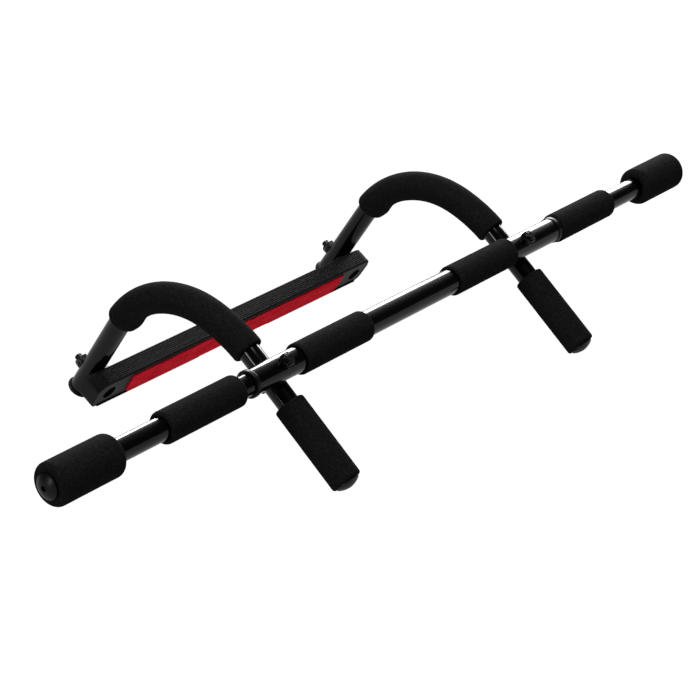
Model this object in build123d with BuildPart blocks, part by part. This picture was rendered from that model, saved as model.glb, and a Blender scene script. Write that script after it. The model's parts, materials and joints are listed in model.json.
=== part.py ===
from build123d import *
from math import cos, radians, sin, sqrt
import os

# Doorway pull up bar with ten foam grips, standing on its two handles and its rear beam.
# X runs along the main bar, Y from the handles back to the beam and Z up. Millimetres.
# The origin is at the middle of the footprint, on the surface that the bar stands on.

# ---- main bar ----
arm_spacing = 392.0           # between the two arms, which cross under the bar
bar_reach = 495.0             # middle of the bar to the end of an outer tube
bar_height = 102.84           # axis of the main bar above the floor
bar_setback = -91.53          # axis of the main bar along Y
centre_tube_radius = 12.7
centre_tube_wall = 1.4
centre_tube_left = arm_spacing / 2 + 40.5
centre_tube_right = arm_spacing / 2 + 54.0    # it reaches a little further to the right
slide_clearance = 0.2         # outer tube inside the centre tube
outer_tube_radius = centre_tube_radius - centre_tube_wall - slide_clearance
outer_tube_wall = 1.5
outer_tube_inner_end = arm_spacing / 2 - 46.0  # where an outer tube stops inside the centre tube
collar_radius = centre_tube_radius + 1.0
collar_length = 5.0
collar_edge = 0.8

# ---- arms: round tube with two tangent bends between two straights ----
arm_radius = 11.1
arm_wall = 1.5
arm_slope = 40.5              # rise of the front straight, degrees
seat_depth = 5.8              # how deep the bar lies in the seat pressed into an arm
seat_offset = centre_tube_radius + arm_radius - seat_depth
handle_reach = 120.8          # seat to the handle end of the tube
front_straight = 22.4         # seat to the first bend
front_bend_radius = 165.0
front_bend_angle = 21.5
rear_bend_radius = 104.0
rear_bend_angle = 74.5
rear_straight = 77.5          # second bend to the beam bolt
foot_overhang = 25.6          # beam bolt to the lower end of the tube

# ---- foam grips ----
grip_wall = 4.6               # foam round an arm or an outer tube
grip_edge = 3.0
grip_edge_limit = 0.8         # largest round of a foam end, as a share of its wall
end_grip_radius = outer_tube_radius + 9.4
end_grip_edge = 4.5
end_grip_length = 75.5
end_grip_gap = 1.0            # foam to the end of its tube
outer_grip_start = centre_tube_right + collar_length + 1.5
outer_grip_length = 100.2
inner_grip_length = 100.0
inner_grip_start = arm_spacing / 2 - 25.0 - inner_grip_length
handle_grip_length = 91.0
handle_grip_gap = 0.3         # foam to the end of its tube
arch_grip_front_gap = 9.6     # start of the first bend to the grip
arch_grip_rear_gap = 5.4      # grip to the end of the second bend

# ---- plugs and caps ----
plug_overhang = 0.8           # flange past the outside of its tube
plug_flange = 1.2
plug_dome = 4.0
plug_stem = 16.0
plug_dimple_radius = 2.8
plug_dimple_depth = 2.5
foot_cap_overhang = 2.0
foot_cap_flange = 2.4
foot_cap_edge = 0.8

# ---- rear beam ----
beam_half = arm_spacing / 2 + 20.0
beam_end_lean = 1.5           # the ends lean in towards the bottom
beam_shoulder_round = 11.0
beam_foot_round = 8.0
beam_rise = 19.0              # beam bolt to the top of the trim pad
beam_drop = 17.2              # beam bolt to the bottom edge
beam_depth = 18.5
beam_edge = 1.2
beam_to_arm = beam_depth + 0.4 + arm_radius   # front face to the centreline of the arms
cradle_half = 13.5            # blocks behind the beam that each cradle an arm
cradle_reach = 4.5            # how far they stand out behind the beam
cradle_top = 13.0             # above and below the beam bolt
cradle_bottom = -13.0
cradle_slant = 4.0
bolt_recess_radius = 8.0
bolt_recess_depth = 9.0
core_half = beam_half - 10.5
core_height = 20.0
core_thickness = 5.0
core_inset = 10.2             # front face to the steel core
core_rise = 2.0               # beam bolt to the middle of the core

# ---- pads on the beam ----
wall_pad_half = arm_spacing / 2 - 27.5
wall_pad_top_round = 1.5
wall_pad_foot_round = 8.0
wall_pad_top = 13.5            # beam bolt to the top edge of the wall pad
wall_pad_recess = 2.0
wall_pad_thickness = 3.7
wall_pad_edge = 0.4
lip_height = 2.4              # bottom edge to the wall pad, which stands on a lip
lip_thickness = 1.4
lip_reach = 1.4               # lip in front of the beam
lip_edge = 0.5
lip_gap_half = 55.0           # the lip is cut away in the middle
trim_pad_recess = 1.0         # how deep the pad lies in the beam
trim_pad_thickness = 3.0
trim_pad_margin = 0.8         # beam left in front of and behind the pad
trim_pad_end_rise = 0.4       # pad past the ends of the beam
trim_pad_drop = 9.0           # the pad runs over the shoulders and this far down the ends
rib_groove_count = 7
rib_groove_depth = 0.5
rib_groove_width = 0.7

# ---- fasteners ----
bolt_radius = 4.0
bolt_hole_radius = bolt_radius + 0.2
hex_across_flats = 13.0
hex_head_height = 4.4
hex_edge = 0.6
nut_height = 4.2
nut_collar_radius = bolt_radius + 1.4
nut_collar_height = 0.9
bar_thread_overrun = 0.6      # bolt end past its nut
beam_thread_overrun = 4.0
thread_point = 0.8
washer_radius = 7.4
washer_thickness = 0.8

# ---- clearances ----
tube_clearance = 0.1          # tube in tube, collar on tube, plug in tube
grip_clearance = 0.1          # foam bore round its tube
seat_clearance = 0.05         # bar in the pressed seats, arms in the end blocks
pad_clearance = 0.2           # pads in their recesses
thread_clearance = 0.05

# ---- places and directions worked out from them ----
sides = {"left": -1, "right": 1}
arm_places = [side * arm_spacing / 2 for side in sides.values()]
slope = radians(arm_slope)
rear_slope = radians(front_bend_angle + rear_bend_angle - arm_slope)
bar_centre = Vector(0, bar_setback, bar_height)
arm_up = Vector(0, cos(slope), sin(slope))
seat_up = Vector(0, -sin(slope), cos(slope))
seat_centre = bar_centre - seat_up * seat_offset
beam_back = Vector(0, sin(rear_slope), cos(rear_slope))
beam_up = Vector(0, -cos(rear_slope), sin(rear_slope))
beam_top = beam_rise - trim_pad_thickness + trim_pad_recess
cradle_depth = beam_depth + cradle_reach
bar_bore_radius = centre_tube_radius - centre_tube_wall
outer_tube_bore_radius = outer_tube_radius - outer_tube_wall
arm_bore_radius = arm_radius - arm_wall
bar_grip_radius = outer_tube_radius + grip_wall
arm_grip_radius = arm_radius + grip_wall
bar_start = -centre_tube_left
centre_tube_length = centre_tube_left + centre_tube_right
outer_tube_length = bar_reach - outer_tube_inner_end
end_grip_start = bar_reach - end_grip_gap - end_grip_length
handle_grip_start = handle_reach - handle_grip_gap - handle_grip_length


def finish(part, name):
    part.label = name
    export_step(part, f"parts/{name}.step")


def finish_pair(part, name):
    # The same piece on the left and on the right arm.
    for side_name, side in sides.items():
        finish(part.moved(Location((side * arm_spacing / 2, 0, 0))), f"{name}_{side_name}")


def rod(start, direction, radius, length, mode=Mode.ADD):
    with Locations(Plane(origin=start, z_dir=direction)):
        Cylinder(radius, length, align=(Align.CENTER, Align.CENTER, Align.MIN), mode=mode)


def bar_point(x):
    return bar_centre + Vector(x, 0, 0)


def rounding(edge, wall):
    # A foam wall that is thin gets a smaller round at its ends.
    return min(edge, grip_edge_limit * wall)


def straight_grip(start, direction, length, radius, bore_radius, edge):
    with BuildPart() as grip:
        rod(start, direction, radius, length)
        fillet(grip.edges().filter_by(GeomType.CIRCLE), rounding(edge, radius - bore_radius))
        rod(start, direction, bore_radius, length, Mode.SUBTRACT)
    return grip.part


os.makedirs("parts", exist_ok=True)

# ---- centreline of an arm at X = 0, from the handle end to the foot ----
with BuildLine(Plane(origin=seat_centre, x_dir=(0, 1, 0), z_dir=(1, 0, 0))) as arm_line:
    handle_run = Line(seat_centre - arm_up * handle_reach, seat_centre + arm_up * front_straight)
    front_bend = JernArc(handle_run @ 1, handle_run % 1, front_bend_radius, -front_bend_angle)
    rear_bend = JernArc(front_bend @ 1, front_bend % 1, rear_bend_radius, -rear_bend_angle)
    foot_end = rear_bend @ 1 - beam_up * (rear_straight + foot_overhang)
    Line(rear_bend @ 1, foot_end)
handle_end = handle_run @ 0
beam_bolt_centre = rear_bend @ 1 - beam_up * rear_straight
beam_face_centre = beam_bolt_centre - beam_back * beam_to_arm

# ---- main bar ----
with BuildPart() as centre_tube:
    rod(bar_point(bar_start), (1, 0, 0), centre_tube_radius, centre_tube_length)
    rod(bar_point(bar_start), (1, 0, 0), bar_bore_radius, centre_tube_length, Mode.SUBTRACT)
    for place in arm_places:
        bolt_start = bar_point(place) - seat_up * centre_tube_radius
        rod(bolt_start, seat_up, bolt_hole_radius, 2 * centre_tube_radius, Mode.SUBTRACT)
finish(centre_tube.part, "centre_tube")

centre_tube_ends = {"left": centre_tube_left, "right": centre_tube_right}
for side_name, side in sides.items():
    outward = Vector(side, 0, 0)
    bolt_start = bar_point(side * arm_spacing / 2) - seat_up * centre_tube_radius

    with BuildPart() as outer_tube:
        tube_start = bar_point(side * outer_tube_inner_end)
        rod(tube_start, outward, outer_tube_radius, outer_tube_length)
        rod(tube_start, outward, outer_tube_bore_radius, outer_tube_length, Mode.SUBTRACT)
        rod(bolt_start, seat_up, bolt_hole_radius, 2 * centre_tube_radius, Mode.SUBTRACT)
    finish(outer_tube.part, f"outer_tube_{side_name}")

    with BuildPart() as collar:
        collar_start = bar_point(side * centre_tube_ends[side_name])
        rod(collar_start, outward, collar_radius, collar_length)
        fillet(collar.edges().filter_by(GeomType.CIRCLE), collar_edge)
        rod(collar_start, outward, outer_tube_radius + tube_clearance, collar_length, Mode.SUBTRACT)
    finish(collar.part, f"tube_collar_{side_name}")

# ---- arms ----
seat_radius = centre_tube_radius + seat_clearance
seat_start = bar_point(-2 * arm_radius)
seat_length = 4 * arm_radius
with BuildPart() as arm_envelope:
    with BuildSketch(Plane(origin=handle_end, z_dir=arm_up)):
        Circle(arm_radius)
    sweep(path=arm_line.line)

with BuildPart() as seat_skin:
    rod(seat_start, (1, 0, 0), seat_radius + arm_wall, seat_length)
    add(arm_envelope.part, mode=Mode.INTERSECT)

with BuildPart() as arm:
    with BuildSketch(Plane(origin=handle_end, z_dir=arm_up)):
        Circle(arm_radius)
        Circle(arm_bore_radius, mode=Mode.SUBTRACT)
    sweep(path=arm_line.line)
    add(seat_skin.part)
    rod(seat_start, (1, 0, 0), seat_radius, seat_length, Mode.SUBTRACT)
    for centre, direction in ((seat_centre, seat_up), (beam_bolt_centre, beam_back)):
        rod(centre - direction * arm_radius, direction, bolt_hole_radius, 2 * arm_radius, Mode.SUBTRACT)
finish_pair(arm.part, "arm")

# ---- foam grips ----
bar_grips = {
    "end_grip": (end_grip_start, end_grip_length, end_grip_radius, outer_tube_radius, end_grip_edge),
    "outer_grip": (outer_grip_start, outer_grip_length, bar_grip_radius, outer_tube_radius, grip_edge),
    "inner_grip": (inner_grip_start, inner_grip_length, bar_grip_radius, centre_tube_radius, grip_edge),
}
for grip_name, (start, length, radius, tube_radius, edge) in bar_grips.items():
    for side_name, side in sides.items():
        grip_start = bar_point(side * start)
        grip = straight_grip(grip_start, (side, 0, 0), length, radius, tube_radius + grip_clearance, edge)
        finish(grip, f"{grip_name}_{side_name}")

handle_grip = straight_grip(
    seat_centre - arm_up * handle_grip_start,
    -arm_up, handle_grip_length, arm_grip_radius, arm_radius + grip_clearance, grip_edge,
)
finish_pair(handle_grip, "handle_grip")

arch_grip_line = Wire([
    front_bend.trim(arch_grip_front_gap / front_bend.length, 1),
    rear_bend.trim(0, 1 - arch_grip_rear_gap / rear_bend.length),
])
with BuildPart() as arch_grip:
    with BuildSketch(Plane(origin=arch_grip_line @ 0, z_dir=arch_grip_line % 0)):
        Circle(arm_grip_radius)
    sweep(path=arch_grip_line)
    fillet(arch_grip.faces().filter_by(GeomType.PLANE).edges(), rounding(grip_edge, grip_wall))
    with BuildSketch(Plane(origin=arch_grip_line @ 0, z_dir=arch_grip_line % 0)):
        Circle(arm_radius + grip_clearance)
    sweep(path=arch_grip_line, mode=Mode.SUBTRACT)
finish_pair(arch_grip.part, "arch_grip")

# ---- plugs and caps, made along +Z from the end of their tube ----
def domed_plug(tube_radius, bore_radius):
    plug_radius = tube_radius + plug_overhang
    dome_radius = (plug_radius**2 + plug_dome**2) / (2 * plug_dome)
    with BuildPart() as plug:
        with Locations((0, 0, plug_flange + plug_dome - dome_radius)):
            Sphere(dome_radius)
        Cylinder(
            plug_radius, plug_flange + plug_dome,
            align=(Align.CENTER, Align.CENTER, Align.MIN), mode=Mode.INTERSECT,
        )
        rod((0, 0, 0), (0, 0, -1), bore_radius - tube_clearance, plug_stem)
        dimple_floor = plug_flange + plug_dome - plug_dimple_depth
        rod((0, 0, dimple_floor), (0, 0, 1), plug_dimple_radius, plug_dimple_depth, Mode.SUBTRACT)
    return plug.part


bar_plug = domed_plug(outer_tube_radius, outer_tube_bore_radius)
for side_name, side in sides.items():
    plug_plane = Plane(origin=bar_point(side * bar_reach), z_dir=(side, 0, 0))
    finish(bar_plug.moved(plug_plane.location), f"end_plug_{side_name}")

handle_plug = domed_plug(arm_radius, arm_bore_radius)
finish_pair(handle_plug.moved(Plane(origin=handle_end, z_dir=-arm_up).location), "handle_plug")

with BuildPart() as foot_cap:
    rod((0, 0, 0), (0, 0, 1), arm_radius + foot_cap_overhang, foot_cap_flange)
    fillet(foot_cap.edges().filter_by(GeomType.CIRCLE), foot_cap_edge)
    rod((0, 0, 0), (0, 0, -1), arm_bore_radius - tube_clearance, plug_stem)
finish_pair(foot_cap.part.moved(Plane(origin=foot_end, z_dir=-beam_up).location), "foot_cap")

# ---- rear beam, drawn on its front face with X along the bar and Y up the face ----
face_plane = Plane(origin=beam_face_centre, x_dir=(1, 0, 0), z_dir=-beam_back)
side_plane = Plane(origin=beam_face_centre, x_dir=beam_back, z_dir=(1, 0, 0))
beam_bottom = -beam_drop
beam_foot_half = beam_half - beam_end_lean
wall_pad_bottom = beam_bottom + lip_height
trim_pad_half = beam_half + trim_pad_end_rise
trim_pad_round = beam_shoulder_round + trim_pad_thickness - trim_pad_recess
trim_pad_bottom = beam_rise - trim_pad_drop


def face_box(half_length, bottom, top, start, end, mode=Mode.ADD):
    # A block whose front lies `start` and whose back lies `end` behind the front face.
    with Locations(face_plane.offset(-start) * Location((0, bottom, 0))):
        Box(
            2 * half_length, top - bottom, end - start,
            align=(Align.CENTER, Align.MIN, Align.MAX), mode=mode,
        )


def arch_block(growth, bottom, start, end, mode=Mode.ADD):
    # What lies under the face of the trim pad, with that face moved out by `growth`.
    with BuildSketch(face_plane.offset(-start)) as outline:
        with Locations((0, bottom)):
            Rectangle(
                2 * (trim_pad_half + growth), beam_rise + growth - bottom,
                align=(Align.CENTER, Align.MIN),
            )
        fillet(outline.vertices().group_by(Axis.Y)[-1], trim_pad_round + growth)
    extrude(outline.sketch, amount=start - end, mode=mode)


def pad_band(thickness, spare, start, end):
    # A band over the top and the ends of the beam, `thickness` under the face of the trim pad.
    with BuildPart() as band:
        arch_block(spare, trim_pad_bottom - trim_pad_round, start, end)
        arch_block(-thickness, trim_pad_bottom - trim_pad_round, start, end, Mode.SUBTRACT)
        face_box(2 * beam_half, trim_pad_bottom - beam_depth, trim_pad_bottom, start, end, Mode.SUBTRACT)
    return band.part


def wall_pad_outline(gap):
    # The wall pad's outline, `gap` larger at its top and its ends.
    with BuildSketch() as outline:
        with Locations((0, wall_pad_bottom)):
            Rectangle(
                2 * (wall_pad_half + gap), wall_pad_top + gap - wall_pad_bottom,
                align=(Align.CENTER, Align.MIN),
            )
        fillet(outline.vertices().group_by(Axis.Y)[-1], wall_pad_top_round + gap)
        fillet(outline.vertices().group_by(Axis.Y)[0], wall_pad_foot_round + gap)
    return outline.sketch


with BuildPart() as beam:
    with BuildSketch(face_plane) as outline:
        Polygon(
            (-beam_foot_half, beam_bottom), (beam_foot_half, beam_bottom),
            (beam_half, beam_top), (-beam_half, beam_top), align=None,
        )
        fillet(outline.vertices().group_by(Axis.Y)[-1], beam_shoulder_round)
        fillet(outline.vertices().group_by(Axis.Y)[0], beam_foot_round)
    extrude(amount=-beam_depth)
    fillet(beam.faces().sort_by(Axis(beam_face_centre, beam_back))[0].edges(), beam_edge)
    # a lip in two lengths under the wall pad
    face_box(
        beam_foot_half - beam_foot_round, wall_pad_bottom - lip_thickness, wall_pad_bottom,
        -lip_reach, wall_pad_recess,
    )
    fillet(beam.faces().sort_by(Axis(beam_face_centre, beam_back))[0].edges(), lip_edge)
    # each arm lies in a cradle behind the beam
    for place in arm_places:
        with BuildSketch(side_plane.offset(place - cradle_half)):
            Polygon(
                (beam_depth, cradle_bottom), (cradle_depth, cradle_bottom + cradle_slant),
                (cradle_depth, cradle_top - cradle_slant), (beam_depth, cradle_top), align=None,
            )
        extrude(amount=2 * cradle_half)
    # pockets for the pads and the core
    with BuildSketch(face_plane):
        add(wall_pad_outline(pad_clearance))
    extrude(amount=-wall_pad_recess, mode=Mode.SUBTRACT)
    face_box(lip_gap_half, beam_bottom, wall_pad_bottom, -lip_reach, wall_pad_recess, Mode.SUBTRACT)
    add(pad_band(
        trim_pad_thickness, beam_depth,
        trim_pad_margin - pad_clearance, beam_depth - trim_pad_margin + pad_clearance,
    ), mode=Mode.SUBTRACT)
    face_box(
        core_half, core_rise - core_height / 2, core_rise + core_height / 2,
        core_inset, core_inset + core_thickness, Mode.SUBTRACT,
    )
    for place in arm_places:
        across = Vector(place, 0, 0)
        rod(beam_face_centre + across, beam_back, bolt_recess_radius, bolt_recess_depth, Mode.SUBTRACT)
        rod(beam_face_centre + across, beam_back, bolt_hole_radius, cradle_depth, Mode.SUBTRACT)
        cradle_foot = beam_bolt_centre + across - beam_up * 2 * beam_drop
        rod(cradle_foot, beam_up, arm_radius + seat_clearance, 4 * beam_drop, Mode.SUBTRACT)
finish(beam.part, "rear_beam")

with BuildPart() as core:
    face_box(
        core_half, core_rise - core_height / 2, core_rise + core_height / 2,
        core_inset, core_inset + core_thickness,
    )
    for place in arm_places:
        rod(beam_face_centre + Vector(place, 0, 0), beam_back, bolt_hole_radius, beam_depth, Mode.SUBTRACT)
finish(core.part, "beam_core")

with BuildPart() as wall_pad:
    with BuildSketch(face_plane.offset(-wall_pad_recess)):
        add(wall_pad_outline(0))
    extrude(amount=wall_pad_thickness)
    chamfer(wall_pad.faces().sort_by(Axis(beam_face_centre, beam_back))[0].edges(), wall_pad_edge)
finish(wall_pad.part, "wall_pad")

with BuildPart() as trim_pad:
    add(pad_band(trim_pad_thickness, 0, trim_pad_margin, beam_depth - trim_pad_margin))
    groove_pitch = (beam_depth - 2 * trim_pad_margin) / (rib_groove_count + 1)
    for groove in range(rib_groove_count):
        groove_start = trim_pad_margin + groove_pitch * (groove + 1) - rib_groove_width / 2
        groove_band = pad_band(rib_groove_depth, beam_edge, groove_start, groove_start + rib_groove_width)
        add(groove_band, mode=Mode.SUBTRACT)
finish(trim_pad.part, "trim_pad")

# ---- fasteners: each kind is made once along +Z and set in its places ----
nut_stack = nut_height + nut_collar_height
bar_bolt_length = (
    washer_thickness + arm_radius + seat_offset + centre_tube_radius
    + washer_thickness + nut_stack + bar_thread_overrun
)
beam_bolt_length = (
    washer_thickness + beam_to_arm - bolt_recess_depth + arm_radius
    + washer_thickness + nut_stack + beam_thread_overrun
)


def bolt(length):
    # The underside of the head is at the origin.
    with BuildPart() as made:
        with BuildSketch():
            RegularPolygon(hex_across_flats / 2, 6, major_radius=False)
        extrude(amount=-hex_head_height)
        chamfer(made.faces().sort_by(Axis.Z)[0].edges(), hex_edge)
        rod((0, 0, 0), (0, 0, 1), bolt_radius, length)
        chamfer(made.faces().sort_by(Axis.Z)[-1].edges(), thread_point)
    return made.part


def saddle_washer(tube_radius):
    # Seats a nut on a tube that runs along X through the origin.
    lowest = sqrt(tube_radius**2 - washer_radius**2)
    with BuildPart() as made:
        rod((0, 0, lowest), (0, 0, 1), washer_radius, tube_radius + washer_thickness - lowest)
        rod((-washer_radius, 0, 0), (1, 0, 0), tube_radius, 2 * washer_radius, Mode.SUBTRACT)
        rod((0, 0, lowest), (0, 0, 1), bolt_hole_radius, tube_radius, Mode.SUBTRACT)
    return made.part


def finish_set(part, planes, name):
    # Identical fasteners share one node.
    with BuildPart() as made:
        with Locations(*planes):
            add(part)
    finish(made.part, name)


with BuildPart() as nut:
    with BuildSketch():
        RegularPolygon(hex_across_flats / 2, 6, major_radius=False)
    extrude(amount=nut_height)
    rod((0, 0, nut_height), (0, 0, 1), nut_collar_radius, nut_collar_height)
    chamfer(nut.faces().sort_by(Axis.Z)[-1].edges(), hex_edge)
    rod((0, 0, 0), (0, 0, 1), bolt_radius + thread_clearance, nut_stack, Mode.SUBTRACT)

with BuildPart() as flat_washer:
    rod((0, 0, 0), (0, 0, 1), washer_radius, washer_thickness)
    rod((0, 0, 0), (0, 0, 1), bolt_hole_radius, washer_thickness, Mode.SUBTRACT)


def planes_at(centre, x_dir, z_dir, rise):
    return [Plane(centre + Vector(place, 0, 0) + z_dir * rise, x_dir, z_dir) for place in arm_places]


# front bolts come up through the arm and the bar; their nuts show on top of the bar
along_bar = Vector(1, 0, 0)
head_rise = -arm_radius - washer_thickness
bar_nut_rise = centre_tube_radius + washer_thickness
finish_set(saddle_washer(arm_radius), planes_at(seat_centre, arm_up, -seat_up, 0), "bar_bolt_washers")
finish_set(bolt(bar_bolt_length), planes_at(seat_centre, along_bar, seat_up, head_rise), "bar_bolts")
bar_washer_planes = planes_at(bar_centre, along_bar, seat_up, 0)
finish_set(saddle_washer(centre_tube_radius), bar_washer_planes, "bar_nut_washers")
finish_set(nut.part, planes_at(bar_centre, along_bar, seat_up, bar_nut_rise), "bar_nuts")

# rear bolts go in through the recesses of the beam; their nuts are behind the arms
recess_planes = planes_at(beam_face_centre, along_bar, beam_back, bolt_recess_depth - washer_thickness)
beam_nut_rise = arm_radius + washer_thickness
finish_set(flat_washer.part, recess_planes, "beam_bolt_washers")
finish_set(bolt(beam_bolt_length), recess_planes, "beam_bolts")
finish_set(saddle_washer(arm_radius), planes_at(beam_bolt_centre, beam_up, beam_back, 0), "beam_nut_washers")
finish_set(nut.part, planes_at(beam_bolt_centre, along_bar, beam_back, beam_nut_rise), "beam_nuts")
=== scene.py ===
import json
import math
import bmesh
import bpy
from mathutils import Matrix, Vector


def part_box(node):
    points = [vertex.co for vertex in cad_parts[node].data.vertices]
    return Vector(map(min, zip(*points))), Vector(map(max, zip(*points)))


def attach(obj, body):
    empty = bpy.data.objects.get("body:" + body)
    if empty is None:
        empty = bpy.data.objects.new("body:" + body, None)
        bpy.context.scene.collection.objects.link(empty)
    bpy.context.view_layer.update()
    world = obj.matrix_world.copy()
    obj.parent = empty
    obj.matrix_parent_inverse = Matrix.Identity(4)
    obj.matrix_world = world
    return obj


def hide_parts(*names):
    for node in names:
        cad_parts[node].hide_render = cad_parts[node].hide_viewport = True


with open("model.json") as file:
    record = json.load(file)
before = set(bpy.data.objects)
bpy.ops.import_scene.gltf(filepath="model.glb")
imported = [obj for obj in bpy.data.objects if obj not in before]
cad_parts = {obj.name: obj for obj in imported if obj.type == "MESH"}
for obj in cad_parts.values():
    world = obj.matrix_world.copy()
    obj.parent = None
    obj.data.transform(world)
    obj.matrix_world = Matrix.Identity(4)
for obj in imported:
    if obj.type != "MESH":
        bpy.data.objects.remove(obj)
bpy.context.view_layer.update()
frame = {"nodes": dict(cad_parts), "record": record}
print("frame loaded,", len(frame["nodes"]), "CAD parts")


# small helpers
def mm(value):
    return value / 1000


def colourOf(hexCode):
    # an sRGB hex code as the linear colour that a shader takes
    parts = [int(hexCode[i:i + 2], 16) / 255 for i in (1, 3, 5)]
    linear = [c / 12.92 if c <= 0.04045 else ((c + 0.055) / 1.055) ** 2.4 for c in parts]
    return (*linear, 1.0)


def addNode(tree, kind, feeds=None, **settings):
    # feeds holds a link or a plain value for each input, by its name or number
    node = tree.nodes.new(kind)
    for name, value in settings.items():
        setattr(node, name, value)
    for key, value in (feeds or {}).items():
        if isinstance(value, bpy.types.NodeSocket):
            tree.links.new(value, node.inputs[key])
        else:
            node.inputs[key].default_value = value
    return node


def newFinish(name, **values):
    # one shader, with every value that is the same all over set on its own socket
    material = bpy.data.materials.new(name)
    material.use_nodes = True
    shader = material.node_tree.nodes["Principled BSDF"]
    for label, value in values.items():
        shader.inputs[label.replace("_", " ")].default_value = value
    return material, material.node_tree, shader


def placeOf(tree, stretch=(1, 1, 1)):
    # the spot on the piece, in metres, stretched along an axis where the grain runs
    spot = addNode(tree, "ShaderNodeTexCoord").outputs["Object"]
    if stretch == (1, 1, 1):
        return spot
    return addNode(tree, "ShaderNodeMapping", {"Vector": spot, "Scale": stretch}).outputs[0]


def cloud(tree, pattern):
    # soft random mottle whose blotches are about pattern["size"] millimetres
    feeds = {"Vector": placeOf(tree, pattern.get("stretch", (1, 1, 1))), "Scale": 1 / mm(pattern["size"]),
             "Detail": pattern["detail"], "Roughness": pattern["rough"]}
    return addNode(tree, "ShaderNodeTexNoise", feeds).outputs["Fac"]


def cells(tree, size):
    # distance to the nearest of many small cells
    feeds = {"Vector": placeOf(tree), "Scale": 1 / mm(size), "Randomness": 1.0}
    return addNode(tree, "ShaderNodeTexVoronoi", feeds).outputs["Distance"]


def mapTo(tree, value, low, high, newLow, newHigh):
    feeds = {0: value, 1: low, 2: high, 3: newLow, 4: newHigh}
    return addNode(tree, "ShaderNodeMapRange", feeds).outputs["Result"]


def shades(tree, value, *stops):
    # a ramp through (position, hex code) stops
    ramp = addNode(tree, "ShaderNodeValToRGB", {"Fac": value})
    elements = ramp.color_ramp.elements
    while len(elements) < len(stops):
        elements.new(0.5)
    for element, (position, hexCode) in zip(elements, stops):
        element.position = position
        element.color = colourOf(hexCode)
    return ramp.outputs["Color"]


def maths(tree, operation, *values):
    return addNode(tree, "ShaderNodeMath", dict(enumerate(values)), operation=operation).outputs[0]


def relief(tree, height, depth, strength, before=None):
    # surface relief `depth` millimetres deep
    feeds = {"Height": height, "Distance": mm(depth), "Strength": strength}
    if before is not None:
        feeds["Normal"] = before
    return addNode(tree, "ShaderNodeBump", feeds).outputs["Normal"]


def wire(tree, source, target):
    tree.links.new(source, target)


def grainedFinish(name, look, **values):
    # colour and roughness follow one pattern: fine grain, with broader blotches mixed into it
    material, tree, shader = newFinish(name, **values)
    grain = cloud(tree, look["grain"])
    pattern = grain
    if "blotch" in look:
        share = look["blotchShare"]
        pattern = maths(tree, "ADD", maths(tree, "MULTIPLY", cloud(tree, look["blotch"]), share),
                        maths(tree, "MULTIPLY", grain, 1 - share))
    wire(tree, shades(tree, pattern, *look["colours"]), shader.inputs["Base Color"])
    wire(tree, mapTo(tree, pattern, *look["range"], *look["roughness"]), shader.inputs["Roughness"])
    under = None
    if "pores" in look:
        pores = mapTo(tree, cells(tree, look["pores"]["size"]), *look["pores"]["edge"], 0.0, 1.0)
        under = relief(tree, pores, *look["pores"]["relief"])
    if "relief" in look:
        wire(tree, relief(tree, grain, *look["relief"], under), shader.inputs["Normal"])
    return material


# finishes: sizes in millimetres, relief as its depth and strength, roughness of the dark and the pale spots

# closed-cell nitrile rubber foam: matt, dusty, with fine pores cut open at its skin
foamLook = {
    "grain": {"size": 0.4, "detail": 2.0, "rough": 0.6}, "relief": (0.05, 0.6),
    "blotch": {"size": 2.2, "detail": 3.0, "rough": 0.55}, "blotchShare": 0.4,
    "pores": {"size": 0.7, "edge": (0.05, 0.55), "relief": (0.10, 0.55)},
    "colours": ((0.36, "#111111"), (0.5, "#191919"), (0.66, "#292929")),
    "range": (0.3, 0.7), "roughness": (0.97, 0.84),
}
foam = grainedFinish("foam", foamLook, Roughness=0.95, Specular_IOR_Level=0.01, Sheen_Weight=0.002,
                     Sheen_Roughness=0.5, Sheen_Tint=colourOf("#B8B8B8"))

# gloss black baked enamel on steel tube, with faint orange peel and fine rubbing along it
enamelLook = {
    "rubbing": {"size": 9.0, "detail": 5.0, "rough": 0.6},
    "colours": ((0.35, "#010101"), (0.75, "#040404")), "range": (0.3, 0.75), "coatRoughness": (0.03, 0.09),
    "peel": {"size": 3.2, "detail": 1.0, "rough": 0.5}, "relief": (0.003, 0.6),
}
enamel, tree, shader = newFinish("glossEnamel", Roughness=0.3, Specular_IOR_Level=0.05,
                                 Coat_Weight=1.0, Coat_Roughness=0.05, Coat_IOR=1.3)
rubbing = cloud(tree, enamelLook["rubbing"])
wire(tree, shades(tree, rubbing, *enamelLook["colours"]), shader.inputs["Base Color"])
wire(tree, mapTo(tree, rubbing, *enamelLook["range"], *enamelLook["coatRoughness"]),
     shader.inputs["Coat Roughness"])
wire(tree, relief(tree, cloud(tree, enamelLook["peel"]), *enamelLook["relief"]), shader.inputs["Normal"])

# glass-filled nylon from a spark-eroded mould: satin, with an even fine grain
nylonLook = {
    "grain": {"size": 0.55, "detail": 2.0, "rough": 0.6}, "relief": (0.02, 0.6),
    "blotch": {"size": 14.0, "detail": 3.0, "rough": 0.5}, "blotchShare": 0.6,
    "colours": ((0.35, "#101011"), (0.68, "#181819")), "range": (0.3, 0.7), "roughness": (0.56, 0.40),
}
nylon = grainedFinish("satinNylon", nylonLook, Roughness=0.5, Specular_IOR_Level=0.14)

# black moulded plugs and collars: smoother and a little glossier than the beam
plugLook = {
    "grain": {"size": 0.9, "detail": 2.0, "rough": 0.6}, "relief": (0.02, 0.5),
    "colours": ((0.35, "#0A0A0A"), (0.7, "#111111")), "range": (0.3, 0.7), "roughness": (0.42, 0.30),
}
plug = grainedFinish("blackPlug", plugLook, Roughness=0.36, Specular_IOR_Level=0.2)

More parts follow.
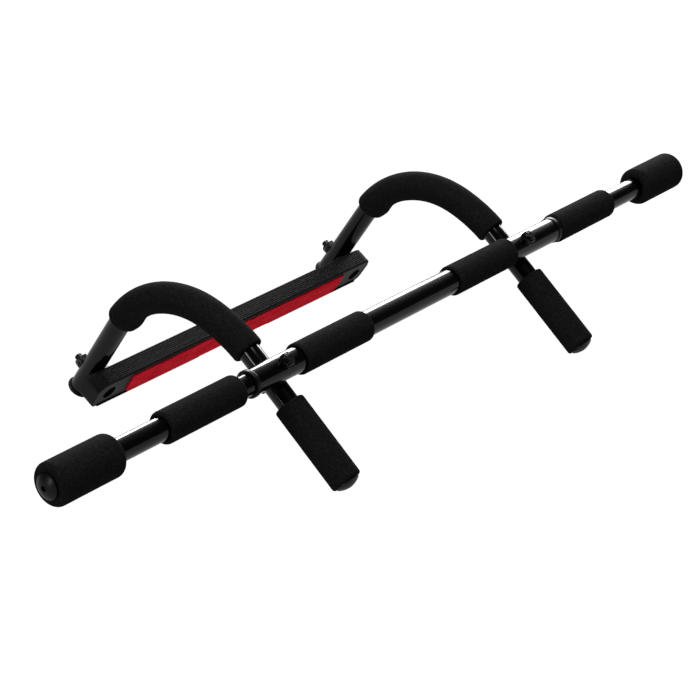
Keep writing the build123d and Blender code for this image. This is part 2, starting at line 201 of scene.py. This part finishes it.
# black extruded rubber: dull, a little greyer than the nylon, streaked along its length
rubberLook = {
    "grain": {"size": 0.5, "detail": 2.0, "rough": 0.6}, "relief": (0.012, 0.6),
    "blotch": {"size": 1.4, "detail": 3.0, "rough": 0.6, "stretch": (0.06, 1, 1)}, "blotchShare": 0.65,
    "colours": ((0.33, "#0B0B0B"), (0.5, "#151515"), (0.7, "#222222")),
    "range": (0.3, 0.7), "roughness": (0.78, 0.58),
}
rubber = grainedFinish("ribbedRubber", rubberLook, Roughness=0.7, Specular_IOR_Level=0.10)

# red foam rubber with a lightly mottled, dusty face
redLook = {
    "grain": {"size": 0.7, "detail": 2.0, "rough": 0.6}, "relief": (0.07, 0.6),
    "blotch": {"size": 7.0, "detail": 4.0, "rough": 0.65, "stretch": (0.35, 1, 1)}, "blotchShare": 0.7,
    "colours": ((0.34, "#C40E20"), (0.5, "#E21A2E"), (0.68, "#F4283E")),
    "range": (0.3, 0.7), "roughness": (0.70, 0.54),
}
redRubber = grainedFinish("redRubber", redLook, Roughness=0.8, Specular_IOR_Level=0.01, Sheen_Weight=0.002,
                          Sheen_Roughness=0.5, Sheen_Tint=colourOf("#E07078"))

# black-oxidised steel fasteners: dark, oily, brighter where a spanner has rubbed them
oxideLook = {
    "grain": {"size": 1.6, "detail": 4.0, "rough": 0.6}, "relief": (0.02, 0.5),
    "colours": ((0.35, "#141415"), (0.55, "#2C2C2E"), (0.75, "#5A5A5D")),
    "range": (0.3, 0.75), "roughness": (0.42, 0.22),
}
oxide = grainedFinish("blackOxide", oxideLook, Metallic=1.0, Roughness=0.3)

# rolled steel flat inside the beam, brushed along its length
steelLook = {
    "grain": {"size": 0.8, "detail": 3.0, "rough": 0.6, "stretch": (0.03, 1, 1)},
    "colours": ((0.35, "#6E6E70"), (0.7, "#9A9A9C")), "range": (0.3, 0.7), "roughness": (0.45, 0.28),
}
steel = grainedFinish("rolledSteel", steelLook, Metallic=1.0, Roughness=0.35)

# the longest key that a part's name starts with gives its finish
finishOfPart = {
    "centre_tube": enamel, "outer_tube": enamel, "arm": enamel, "tube_collar": plug,
    "end_plug": plug, "handle_plug": plug, "foot_cap": plug, "rear_beam": nylon, "beam_core": steel,
    "trim_pad": rubber, "wall_pad": redRubber, "bar": oxide, "beam": oxide,
}
for nodeName, part in frame["nodes"].items():
    keys = [key for key in finishOfPart if nodeName.startswith(key)]
    if keys:
        part.data.materials.clear()
        part.data.materials.append(finishOfPart[max(keys, key=len)])
print("finishes made")


def addObject(name, data):
    thing = bpy.data.objects.new(name, data)
    bpy.context.scene.collection.objects.link(thing)
    return thing


# round parts are shown as welded copies with smooth faces, so that their gloss runs clean along them
roundParts = {
    "families": ("centre_tube", "outer_tube", "arm_", "tube_collar", "end_plug", "handle_plug", "foot_cap"),
    "sharpAngle": 28.0, "weld": 0.001,
}
for nodeName, part in list(frame["nodes"].items()):
    if not nodeName.startswith(roundParts["families"]):
        continue
    shape = bmesh.new()
    shape.from_mesh(part.data)
    shape.transform(part.matrix_world)
    bmesh.ops.remove_doubles(shape, verts=shape.verts, dist=mm(roundParts["weld"]))
    for face in shape.faces:
        face.smooth = True
    for edge in shape.edges:
        edge.smooth = edge.calc_face_angle(math.pi) < math.radians(roundParts["sharpAngle"])
    mesh = bpy.data.meshes.new("smooth_" + nodeName)
    shape.to_mesh(mesh)
    shape.free()
    coat = part.data.materials[0]
    mesh.materials.append(coat)
    smoothPart = addObject("smooth_" + nodeName, mesh)
    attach(smoothPart, "root")
    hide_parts(nodeName)
print("round parts smoothed")


# geometry node trees
def newTree(name, **sizes):
    tree = bpy.data.node_groups.new(name, "GeometryNodeTree")
    tree.interface.new_socket("Geometry", in_out="INPUT", socket_type="NodeSocketGeometry")
    for label, kind in sizes.items():
        tree.interface.new_socket(label, in_out="INPUT", socket_type="NodeSocket" + kind)
    tree.interface.new_socket("Geometry", in_out="OUTPUT", socket_type="NodeSocketGeometry")
    return tree, tree.nodes.new("NodeGroupInput").outputs, tree.nodes.new("NodeGroupOutput").inputs


def vectors(tree, operation, *values):
    node = addNode(tree, "ShaderNodeVectorMath", dict(enumerate(values)), operation=operation)
    return node.outputs["Value" if operation in ("DOT_PRODUCT", "LENGTH", "DISTANCE") else "Vector"]


def scaled(tree, vector, factor):
    feeds = {"Vector": vector, "Scale": factor}
    return addNode(tree, "ShaderNodeVectorMath", feeds, operation="SCALE").outputs[0]


def partsOf(tree, vector=None):
    # the parts X, Y and Z of a vector, or of the place of each point
    if vector is None:
        vector = addNode(tree, "GeometryNodeInputPosition").outputs[0]
    return addNode(tree, "ShaderNodeSeparateXYZ", {0: vector}).outputs


def oblongSection(tree, width, height, rounding, steps):
    oblong = addNode(tree, "GeometryNodeCurvePrimitiveQuadrilateral", {"Width": width, "Height": height})
    feeds = {"Curve": oblong.outputs[0], "Count": steps, "Radius": rounding, "Limit Radius": True}
    return addNode(tree, "GeometryNodeFilletCurve", feeds, mode="POLY").outputs[0]


def unitGrid(tree, countX, countY):
    # a flat grid of points, one metre square, that a tree then carries to their places
    feeds = {"Size X": 1.0, "Size Y": 1.0, "Vertices X": countX, "Vertices Y": countY}
    return addNode(tree, "GeometryNodeMeshGrid", feeds).outputs["Mesh"]


def onSectionAt(tree, section, spot):
    # the point of the section that each grid point stands for, by its place along Y
    feeds = {"Curves": section, "Factor": maths(tree, "ADD", spot["Y"], 0.5)}
    return partsOf(tree, addNode(tree, "GeometryNodeSampleCurve", feeds, mode="FACTOR").outputs["Position"])


def endTree(tree, grid, position, material, result, seamWeld=0.002):
    # the grid in its new place, its seam welded, as plain smooth geometry with its finish on
    placed = addNode(tree, "GeometryNodeSetPosition", {"Geometry": grid, "Position": position}).outputs[0]
    feeds = {"Geometry": placed, "Distance": mm(seamWeld)}
    welded = addNode(tree, "GeometryNodeMergeByDistance", feeds).outputs[0]
    feeds = {"Geometry": welded, "Shade Smooth": True}
    smooth = addNode(tree, "GeometryNodeSetShadeSmooth", feeds).outputs[0]
    plain = addNode(tree, "GeometryNodeRealizeInstances", {0: smooth}).outputs[0]
    feeds = {"Geometry": plain, "Material": material}
    wire(tree, addNode(tree, "GeometryNodeSetMaterial", feeds).outputs[0], result[0])


# lumpLevel is above all of the noise, so that lumps only take foam away; wallFade keeps the bore round
sleeveShape = {"cornerSteps": 8, "wallFade": 1.5, "lumpDetail": 2.0, "lumpRough": 0.5, "lumpLevel": 0.9}


def sleeveTree():
    # a foam sleeve: a rounded wall section carried round and along a centreline
    tree, given, result = newTree(
        "foamSleeve", OuterRadius="Float", BoreRadius="Float", EdgeRound="Float", MouthRound="Float",
        Around="Int", Step="Float", LumpSize="Float", LumpHeight="Float", Seed="Float",
        BunchCentre="Vector", BunchSide="Vector", BunchSpread="Float", BunchHeight="Float",
        DipCentre="Vector", DipSpread="Float", DipDepth="Float", Finish="Material")
    line = addNode(tree, "GeometryNodeMeshToCurve", {0: given["Geometry"]}).outputs[0]
    length = addNode(tree, "GeometryNodeCurveLength", {0: line}).outputs[0]
    wall = maths(tree, "SUBTRACT", given["OuterRadius"], given["BoreRadius"])
    isOuter = maths(tree, "GREATER_THAN", partsOf(tree)["Y"], 0.0)
    rounding = mapTo(tree, isOuter, 0.0, 1.0, given["MouthRound"], given["EdgeRound"])
    section = oblongSection(tree, length, wall, rounding, sleeveShape["cornerSteps"])
    girth = addNode(tree, "GeometryNodeCurveLength", {0: section}).outputs[0]
    stations = maths(tree, "ROUND", maths(tree, "DIVIDE", girth, given["Step"]))
    grid = unitGrid(tree, maths(tree, "ADD", given["Around"], 1.0), maths(tree, "ADD", stations, 1.0))
    spot = partsOf(tree)
    turn = maths(tree, "MULTIPLY", maths(tree, "ADD", spot["X"], 0.5), math.tau)
    flat = onSectionAt(tree, section, spot)
    along = maths(tree, "ADD", flat["X"], maths(tree, "MULTIPLY", length, 0.5))
    depth = maths(tree, "ADD", flat["Y"], maths(tree, "MULTIPLY", wall, 0.5))
    onLine = addNode(tree, "GeometryNodeSampleCurve", {"Curves": line, "Length": along}, mode="LENGTH")
    centre, across = onLine.outputs["Position"], onLine.outputs["Normal"]
    sideways = vectors(tree, "CROSS_PRODUCT", onLine.outputs["Tangent"], across)
    spoke = vectors(tree, "ADD", scaled(tree, across, maths(tree, "COSINE", turn)),
                    scaled(tree, sideways, maths(tree, "SINE", turn)))
    radius = maths(tree, "ADD", depth, given["BoreRadius"])
    outerShare = maths(tree, "MAXIMUM", maths(tree, "DIVIDE", depth, wall), 0.0)
    outerShare = maths(tree, "POWER", outerShare, sleeveShape["wallFade"])
    # foam bunches up on the inside of a bend and thins just ahead of the bunch
    facing = maths(tree, "MAXIMUM", vectors(tree, "DOT_PRODUCT", spoke, given["BunchSide"]), 0.0)

    def swell(middle, spread, height):
        away = maths(tree, "DIVIDE", vectors(tree, "DISTANCE", centre, middle), spread)
        fade = maths(tree, "EXPONENT", maths(tree, "MULTIPLY", maths(tree, "MULTIPLY", away, away), -1.0))
        return maths(tree, "MULTIPLY", maths(tree, "MULTIPLY", fade, height), facing)

    bunch = swell(given["BunchCentre"], given["BunchSpread"], given["BunchHeight"])
    dip = swell(given["DipCentre"], given["DipSpread"], given["DipDepth"])
    feeds = {"Vector": vectors(tree, "ADD", centre, scaled(tree, spoke, radius)), "W": given["Seed"],
             "Scale": maths(tree, "DIVIDE", 1.0, given["LumpSize"]),
             "Detail": sleeveShape["lumpDetail"], "Roughness": sleeveShape["lumpRough"]}
    lumps = addNode(tree, "ShaderNodeTexNoise", feeds, noise_dimensions="4D").outputs["Fac"]
    lumps = maths(tree, "SUBTRACT", lumps, sleeveShape["lumpLevel"])
    lumps = maths(tree, "MULTIPLY", lumps, given["LumpHeight"])
    moved = maths(tree, "ADD", maths(tree, "SUBTRACT", bunch, dip), lumps)
    reach = maths(tree, "ADD", radius, maths(tree, "MULTIPLY", moved, outerShare))
    place = vectors(tree, "ADD", centre, scaled(tree, spoke, reach))
    endTree(tree, grid, place, given["Finish"], result)
    return tree


# above outerFrom, as a share of the thickness from its middle, a point is on the ribbed face
stripShape = {"cornerSteps": 4, "outerFrom": 0.3}


def stripTree():
    # a ribbed strip laid over a line, its ribs running along the line
    tree, given, result = newTree(
        "ribbedStrip", Width="Float", Thickness="Float", EdgeRound="Float", Ribs="Int", RibDepth="Float",
        GrooveWidth="Float", Stations="Int", Around="Int", Back="Vector", Finish="Material")
    section = oblongSection(tree, given["Width"], given["Thickness"], given["EdgeRound"],
                            stripShape["cornerSteps"])
    grid = unitGrid(tree, given["Stations"], maths(tree, "ADD", given["Around"], 1.0))
    spot = partsOf(tree)
    lastStation = maths(tree, "SUBTRACT", given["Stations"], 1.0)
    station = maths(tree, "MULTIPLY", maths(tree, "ADD", spot["X"], 0.5), lastStation)
    station = maths(tree, "ROUND", station)

    def linePoint(index):
        feeds = {"Geometry": given["Geometry"], "Index": index,
                 "Value": addNode(tree, "GeometryNodeInputPosition").outputs[0]}
        return addNode(tree, "GeometryNodeSampleIndex", feeds, data_type="FLOAT_VECTOR", domain="POINT",
                       clamp=True).outputs[0]

    ahead = linePoint(maths(tree, "ADD", station, 1.0))
    behind = linePoint(maths(tree, "SUBTRACT", station, 1.0))
    heading = vectors(tree, "NORMALIZE", vectors(tree, "SUBTRACT", ahead, behind))
    outward = vectors(tree, "CROSS_PRODUCT", heading, given["Back"])
    flat = onSectionAt(tree, section, spot)
    depth = maths(tree, "ADD", flat["X"], maths(tree, "MULTIPLY", given["Width"], 0.5))
    # grooves lie at whole numbers of rib widths and are cut into the outer face only
    ribWidth = maths(tree, "DIVIDE", given["Width"], given["Ribs"])
    toGroove = maths(tree, "PINGPONG", maths(tree, "DIVIDE", depth, ribWidth), 0.5)
    toGroove = maths(tree, "MULTIPLY", toGroove, ribWidth)
    feeds = {0: toGroove, 1: 0.0, 2: given["GrooveWidth"], 3: given["RibDepth"], 4: 0.0}
    cut = addNode(tree, "ShaderNodeMapRange", feeds, interpolation_type="SMOOTHSTEP").outputs["Result"]
    outerFrom = maths(tree, "MULTIPLY", given["Thickness"], stripShape["outerFrom"])
    cut = maths(tree, "MULTIPLY", cut, maths(tree, "GREATER_THAN", flat["Y"], outerFrom))
    uncut = maths(tree, "ADD", flat["Y"], maths(tree, "MULTIPLY", given["Thickness"], 0.5))
    height = maths(tree, "SUBTRACT", uncut, cut)
    across = vectors(tree, "ADD", scaled(tree, given["Back"], depth), scaled(tree, outward, height))
    endTree(tree, grid, vectors(tree, "ADD", linePoint(station), across), given["Finish"], result)
    return tree


def guideLine(points):
    # a bare line of edges for a tree to follow
    mesh = bpy.data.meshes.new("guide")
    mesh.from_pydata([tuple(p) for p in points], [(i, i + 1) for i in range(len(points) - 1)], [])
    return addObject("guide", mesh)


def growPiece(name, tree, guide, values):
    # the tree's result as a plain closed mesh with its faces outwards
    grower = guide.modifiers.new("grow", "NODES")
    grower.node_group = tree
    for item in tree.interface.items_tree:
        if item.in_out == "INPUT" and item.name in values:
            grower[item.identifier] = values[item.name]
    guide.update_tag()
    graph = bpy.context.evaluated_depsgraph_get()
    mesh = bpy.data.meshes.new_from_object(guide.evaluated_get(graph))
    guide.modifiers.remove(grower)
    bpy.data.objects.remove(guide)
    shape = bmesh.new()
    shape.from_mesh(mesh)
    bmesh.ops.holes_fill(shape, edges=[edge for edge in shape.edges if edge.is_boundary], sides=0)
    bmesh.ops.recalc_face_normals(shape, faces=shape.faces)
    if shape.calc_volume(signed=True) < 0:
        bmesh.ops.reverse_faces(shape, faces=shape.faces)
    shape.to_mesh(mesh)
    shape.free()
    mesh.name = name
    return addObject(name, mesh)


# foam grips
gripLook = {"around": 64, "step": 0.75, "lumpSize": 9.0, "lumpHeight": 0.22, "mouthRound": 0.7}
barGrips = {  # the CAD part, the round of its outer edges, the radius of its bore
    "end_grip": {"edge": 5.5, "bore": 11.2},
    "outer_grip": {"edge": 3.2, "bore": 11.2},
    "inner_grip": {"edge": 2.6, "bore": 12.8},
}
noBunch = {"BunchCentre": (0, 0, 0), "BunchSide": (0, 0, 1), "BunchSpread": 1.0, "BunchHeight": 0.0,
           "DipCentre": (0, 0, 0), "DipSpread": 1.0, "DipDepth": 0.0}
sleeves = sleeveTree()


def addGrip(name, points, outer, bore, edge, seed, bunching=noBunch):
    values = {
        "OuterRadius": outer, "BoreRadius": mm(bore), "EdgeRound": mm(edge),
        "MouthRound": mm(gripLook["mouthRound"]), "Around": gripLook["around"],
        "Step": mm(gripLook["step"]), "LumpSize": mm(gripLook["lumpSize"]),
        "LumpHeight": mm(gripLook["lumpHeight"]), "Seed": seed, "Finish": foam, **bunching,
    }
    grip = growPiece("foam_" + name, sleeves, guideLine(points), values)
    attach(grip, "root")
    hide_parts(name)
    return grip


seed = 1.0
for family, sizes in barGrips.items():
    for side in ("left", "right"):
        low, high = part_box(f"{family}_{side}")
        middle = (low + high) / 2
        ends = [Vector((x, middle.y, middle.z)) for x in (low.x, high.x)]
        addGrip(f"{family}_{side}", ends, (high.z - low.z) / 2, sizes["bore"], sizes["edge"], seed)
        seed += 1.0
print("bar grips made")

# the arms' centreline, from the seat under the main bar
armPath = {
    "slope": 40.5, "seatOffset": 18.0, "frontStraight": 22.4, "frontRadius": 165.0, "frontAngle": 21.5,
    "rearRadius": 104.0, "rearAngle": 74.5, "handleStart": 29.5, "handleLength": 91.0,
    "archFrontGap": 9.6, "archRearGap": 5.4, "arcStep": 1.5,
}
archGrip = {
    "outer": 15.7, "bore": 11.2, "edge": 3.0, "handleEdge": 2.6, "bunchBack": 13.0, "bunchSpread": 11.0,
    "bunchHeight": 2.6, "dipBack": 42.0, "dipSpread": 22.0, "dipDepth": 0.9,
}
slope, frontTurn, rearTurn = [math.radians(armPath[key]) for key in ("slope", "frontAngle", "rearAngle")]
frontRadius, rearRadius = mm(armPath["frontRadius"]), mm(armPath["rearRadius"])
frontArc, rearArc = frontRadius * frontTurn, rearRadius * rearTurn
armUp = Vector((0, math.cos(slope), math.sin(slope)))
seatUp = Vector((0, -math.sin(slope), math.cos(slope)))
barLow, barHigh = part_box("centre_tube")
barCentre = Vector((0, (barLow.y + barHigh.y) / 2, (barLow.z + barHigh.z) / 2))
seatCentre = barCentre - seatUp * mm(armPath["seatOffset"])


def onArc(origin, entry, radius, angle):
    # a point `angle` round a bend that the arm enters after bending down by `entry`
    heading = Vector((0, math.cos(slope - entry), math.sin(slope - entry)))
    into = Vector((0, math.sin(slope - entry), -math.cos(slope - entry)))
    return origin + heading * radius * math.sin(angle) + into * radius * (1 - math.cos(angle))


def alongBends(distance):
    # a point on the two bends, `distance` after the first one starts
    start = seatCentre + armUp * mm(armPath["frontStraight"])
    if distance <= frontArc:
        return onArc(start, 0.0, frontRadius, distance / frontRadius)
    joint = onArc(start, 0.0, frontRadius, frontTurn)
    return onArc(joint, frontTurn, rearRadius, (distance - frontArc) / rearRadius)


archStart = mm(armPath["archFrontGap"])
archEnd = frontArc + rearArc - mm(armPath["archRearGap"])
archCount = round((archEnd - archStart) / mm(armPath["arcStep"]))
archPoints = [alongBends(archStart + (archEnd - archStart) * i / archCount) for i in range(archCount + 1)]
endTurn = frontTurn + rearTurn - mm(armPath["archRearGap"]) / rearRadius
insideBend = Vector((0, math.sin(slope - endTurn), -math.cos(slope - endTurn)))
for side in ("left", "right"):
    low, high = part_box(f"arm_{side}")
    across = Vector(((low.x + high.x) / 2, 0, 0))
    handleStart = seatCentre - armUp * mm(armPath["handleStart"])
    handleEnd = handleStart - armUp * mm(armPath["handleLength"])
    addGrip(f"handle_grip_{side}", [handleStart + across, handleEnd + across],
            mm(archGrip["outer"]), archGrip["bore"], archGrip["handleEdge"], seed)
    bunching = {
        "BunchCentre": alongBends(archEnd - mm(archGrip["bunchBack"])) + across, "BunchSide": insideBend,
        "BunchSpread": mm(archGrip["bunchSpread"]), "BunchHeight": mm(archGrip["bunchHeight"]),
        "DipCentre": alongBends(archEnd - mm(archGrip["dipBack"])) + across,
        "DipSpread": mm(archGrip["dipSpread"]), "DipDepth": mm(archGrip["dipDepth"]),
    }
    addGrip(f"arch_grip_{side}", [p + across for p in archPoints], mm(archGrip["outer"]), archGrip["bore"],
            archGrip["edge"], seed + 1.0, bunching)
    seed += 2.0
print("handle and arch grips made")

# the beam's own directions: back through it, and up its front face
rearSlope = frontTurn + rearTurn - slope
beamBack = Vector((0, math.sin(rearSlope), math.cos(rearSlope)))
beamUp = Vector((0, -math.cos(rearSlope), math.sin(rearSlope)))
acrossBeam = Vector((1, 0, 0))
restPoints = {mount["name"]: Vector(mount["pos_m"]) for mount in frame["record"]["mounts"]}
wallRest = restPoints["wall_rest"]


def roundedOblong(look, shrink):
    # the pad's outline as (along, up) points, drawn in by `shrink` on every side
    end, bottom, top = look["halfLength"], look["bottom"], look["top"]
    corners = [(end, bottom, look["footRound"], -90), (end, top, look["topRound"], 0),
               (-end, top, look["topRound"], 90), (-end, bottom, look["footRound"], 180)]
    points = []
    for x, y, radius, start in corners:
        centreX = x - math.copysign(radius, x)
        centreY = y + radius if y == bottom else y - radius
        reach = max(radius - shrink, look["leastRound"])
        for i in range(look["cornerSteps"] + 1):
            turn = math.radians(start + 90 * i / look["cornerSteps"])
            points.append((centreX + reach * math.cos(turn), centreY + reach * math.sin(turn)))
    return points


def ringMesh(name, rings):
    # a closed skin through rings that all have the same number of points
    shape = bmesh.new()
    loops = [[shape.verts.new(point) for point in ring] for ring in rings]
    for first, second in zip(loops, loops[1:]):
        for i in range(len(first)):
            j = (i + 1) % len(first)
            shape.faces.new((first[i], first[j], second[j], second[i]))
    shape.faces.new(loops[0])
    shape.faces.new(loops[-1])
    bmesh.ops.recalc_face_normals(shape, faces=shape.faces)
    for face in shape.faces:
        face.smooth = len(face.verts) == 4
    mesh = bpy.data.meshes.new(name)
    shape.to_mesh(mesh)
    shape.free()
    return addObject(name, mesh)


# red wall pad: die-cut foam rubber with a pressed edge
padLook = {"halfLength": 168.5, "bottom": -14.8, "top": 13.5, "footRound": 8.0, "topRound": 1.5,
           "leastRound": 0.02, "cornerSteps": 8, "thickness": 3.7, "edgeRound": 1.1, "edgeSteps": 6,
           "markUp": -1.0}


def padRing(inset, depth):
    # depth is how far behind the pad's face the ring lies
    lift = padLook["markUp"]
    return [wallRest + acrossBeam * mm(x) + beamUp * mm(y - lift) + beamBack * mm(depth)
            for x, y in roundedOblong(padLook, inset)]


padRings = [padRing(0.0, padLook["thickness"])]
for i in range(padLook["edgeSteps"] + 1):
    turn = math.pi / 2 * i / padLook["edgeSteps"]
    edge = padLook["edgeRound"]
    padRings.append(padRing(edge * (1 - math.cos(turn)), edge * (1 - math.sin(turn))))
wallPad = ringMesh("foam_wall_pad", padRings)
wallPad.data.materials.append(redRubber)
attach(wallPad, "root")
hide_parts("wall_pad")
print("wall pad made")

# ribbed strip over the top and the shoulders of the beam
stripLook = {
    "halfLength": 216.4, "top": 19.0, "round": 13.0, "thickness": 3.0, "margin": 0.8, "width": 16.9,
    "endTurn": 23.0, "ribs": 8, "ribDepth": 0.4, "grooveWidth": 0.5, "edgeRound": 0.5, "around": 300,
    "arcSteps": 14, "topSteps": 90, "markUp": -1.0, "markBack": -1.7,
}


def overBeam():
    # the line that the underside of the strip follows, from its left end to its right end
    look = stripLook
    faceCentre = wallRest - beamUp * mm(look["markUp"]) - beamBack * mm(look["markBack"])
    bendX, bendY = look["halfLength"] - look["round"], look["top"] - look["round"]
    reach = look["round"] - look["thickness"]
    turns = [math.radians(look["endTurn"] + (90 - look["endTurn"]) * i / look["arcSteps"])
             for i in range(look["arcSteps"] + 1)]
    left = [(-bendX - reach * math.cos(turn), bendY + reach * math.sin(turn)) for turn in turns]
    right = [(-x, y) for x, y in reversed(left)]
    middle = [(-bendX + 2 * bendX * i / look["topSteps"], bendY + reach)
              for i in range(1, look["topSteps"])]
    start = faceCentre + beamBack * mm(look["margin"])
    return [start + acrossBeam * mm(x) + beamUp * mm(y) for x, y in left + middle + right]


linePoints = overBeam()
trimStrip = growPiece("ribbed_trim_pad", stripTree(), guideLine(linePoints), {
    "Width": mm(stripLook["width"]), "Thickness": mm(stripLook["thickness"]),
    "EdgeRound": mm(stripLook["edgeRound"]), "Ribs": stripLook["ribs"],
    "RibDepth": mm(stripLook["ribDepth"]), "GrooveWidth": mm(stripLook["grooveWidth"]),
    "Stations": len(linePoints), "Around": stripLook["around"], "Back": beamBack, "Finish": rubber})
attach(trimStrip, "root")
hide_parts("trim_pad")
print("ribbed strip made,", len(trimStrip.data.polygons), "faces")

# studio: a table top of white acrylic, lit from below
floorLook = {"half": 9.0, "glow": 1.02, "spill": 0.5, "colours": ((0.3, "#303030"), (0.7, "#343434")),
             "mottle": {"size": 400.0, "detail": 2.0, "rough": 0.5}}
half = floorLook["half"]
floorMesh = bpy.data.meshes.new("floor")
floorCorners = [(-half, -half, 0), (half, -half, 0), (half, half, 0), (-half, half, 0)]
floorMesh.from_pydata(floorCorners, [], [(0, 1, 2, 3)])
floor = addObject("floor", floorMesh)
acrylic, tree, shader = newFinish("litAcrylic", Roughness=0.9, Specular_IOR_Level=0.0,
                                  Emission_Color=colourOf("#FFFFFF"))
# it is exposed to read white, and spills less light than that onto the object
seenDirectly = addNode(tree, "ShaderNodeLightPath").outputs["Is Camera Ray"]
wire(tree, mapTo(tree, seenDirectly, 0.0, 1.0, floorLook["spill"], floorLook["glow"]),
     shader.inputs["Emission Strength"])
floorTint = shades(tree, cloud(tree, floorLook["mottle"]), *floorLook["colours"])
wire(tree, floorTint, shader.inputs["Base Color"])
floorMesh.materials.append(acrylic)

worldLook = {"Color": colourOf("#FFFFFF"), "Strength": 0.04}
world = bpy.data.worlds.new("studio")
world.use_nodes = True
for label, value in worldLook.items():
    world.node_tree.nodes["Background"].inputs[label].default_value = value
bpy.context.scene.world = world

# softboxes: even rectangles of light, as bright as their radiance from any side
softboxes = {
    "behind": {"spot": (1.90, 1.35, 0.95), "target": (0.0, 0.0, 0.1), "size": (3.2, 1.2), "radiance": 14.0},
    "overhead": {"spot": (-0.2, -0.1, 2.3), "target": (0.0, 0.0, 0.0), "size": (1.8, 1.4), "radiance": 5.0},
    "left": {"spot": (-2.3, 0.1, 0.62), "target": (0.0, 0.0, 0.1), "size": (0.24, 0.9), "radiance": 12.0},
}


def lookAlong(thing, spot, direction):
    thing.location = spot
    thing.rotation_euler = direction.to_track_quat("-Z", "Y").to_euler()


for name, look in softboxes.items():
    light = bpy.data.lights.new(name, "AREA")
    light.shape = "RECTANGLE"
    light.size, light.size_y = look["size"]
    light.energy = look["radiance"] * look["size"][0] * look["size"][1] * math.pi
    lookAlong(addObject(name, light), look["spot"], Vector(look["target"]) - Vector(look["spot"]))

cameraLook = {"spot": (-1.6664, -1.3354, 0.9868), "forward": (0.7159, 0.5652, -0.4100), "lens": 118.24,
              "sensor": 36.0, "nearest": 0.05, "farthest": 50.0}
eye = bpy.data.cameras.new("camera")
eye.lens, eye.sensor_width = cameraLook["lens"], cameraLook["sensor"]
eye.clip_start, eye.clip_end = cameraLook["nearest"], cameraLook["farthest"]
camera = addObject("camera", eye)
lookAlong(camera, cameraLook["spot"], Vector(cameraLook["forward"]))
bpy.context.scene.camera = camera
bpy.context.scene.view_settings.view_transform = "Standard"
print("studio ready")
